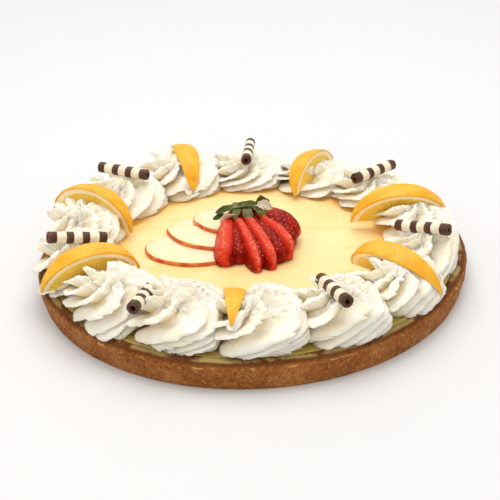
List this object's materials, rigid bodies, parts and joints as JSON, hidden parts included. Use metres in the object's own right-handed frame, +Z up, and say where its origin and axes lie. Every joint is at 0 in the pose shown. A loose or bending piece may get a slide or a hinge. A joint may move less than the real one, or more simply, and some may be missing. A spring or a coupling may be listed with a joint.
{
  "type": "apple cream tart",
  "caption": "Open-faced round tart with a low crust, custard, a ring of swirled cream, citrus wedges, striped chocolate rolls, fanned apple slices and a cut strawberry.",
  "frame": {"origin": "centre of the flat underside of the crust", "axes": "+Z up out of the filling; -Y towards the front of the tart, where the strawberry tips point; +X to the right"},
  "size_m": [0.2799, 0.2798, 0.0549],
  "materials": {
    "baked_crust": "baked shortcrust, matte and pitted",
    "custard": "set custard, satin",
    "whipped_cream": "whipped cream, soft and slightly torn",
    "citrus": "orange-yellow peel, white pith and wet flesh",
    "chocolate": "dark chocolate with pale bands",
    "apple": "wet cut flesh with a red skin edge",
    "strawberry": "wet red skin with seeds",
    "calyx_leaf": "green leaf, slightly furry"
  },
  "bodies": {
    "root": {"crust": "baked_crust", "filling": "custard", "cream_rosette_01": "whipped_cream", "cream_rosette_02": "whipped_cream", "cream_rosette_03": "whipped_cream", "cream_rosette_04": "whipped_cream", "cream_rosette_05": "whipped_cream", "cream_rosette_06": "whipped_cream", "cream_rosette_07": "whipped_cream", "cream_rosette_08": "whipped_cream", "cream_rosette_09": "whipped_cream", "cream_rosette_10": "whipped_cream", "cream_rosette_11": "whipped_cream", "cream_rosette_12": "whipped_cream", "cream_rosette_13": "whipped_cream", "cream_rosette_14": "whipped_cream", "citrus_wedge_1": "citrus", "citrus_wedge_2": "citrus", "citrus_wedge_3": "citrus", "citrus_wedge_4": "citrus", "citrus_wedge_5": "citrus", "citrus_wedge_6": "citrus", "citrus_wedge_7": "citrus", "chocolate_roll_1": "chocolate", "chocolate_roll_2": "chocolate", "chocolate_roll_3": "chocolate", "chocolate_roll_4": "chocolate", "chocolate_roll_5": "chocolate", "chocolate_roll_6": "chocolate", "chocolate_roll_7": "chocolate", "apple_slice_1": "apple", "apple_slice_2": "apple", "apple_slice_3": "apple", "strawberry_fan": "strawberry", "strawberry_calyx": "calyx_leaf"}
  },
  "joints": []
}
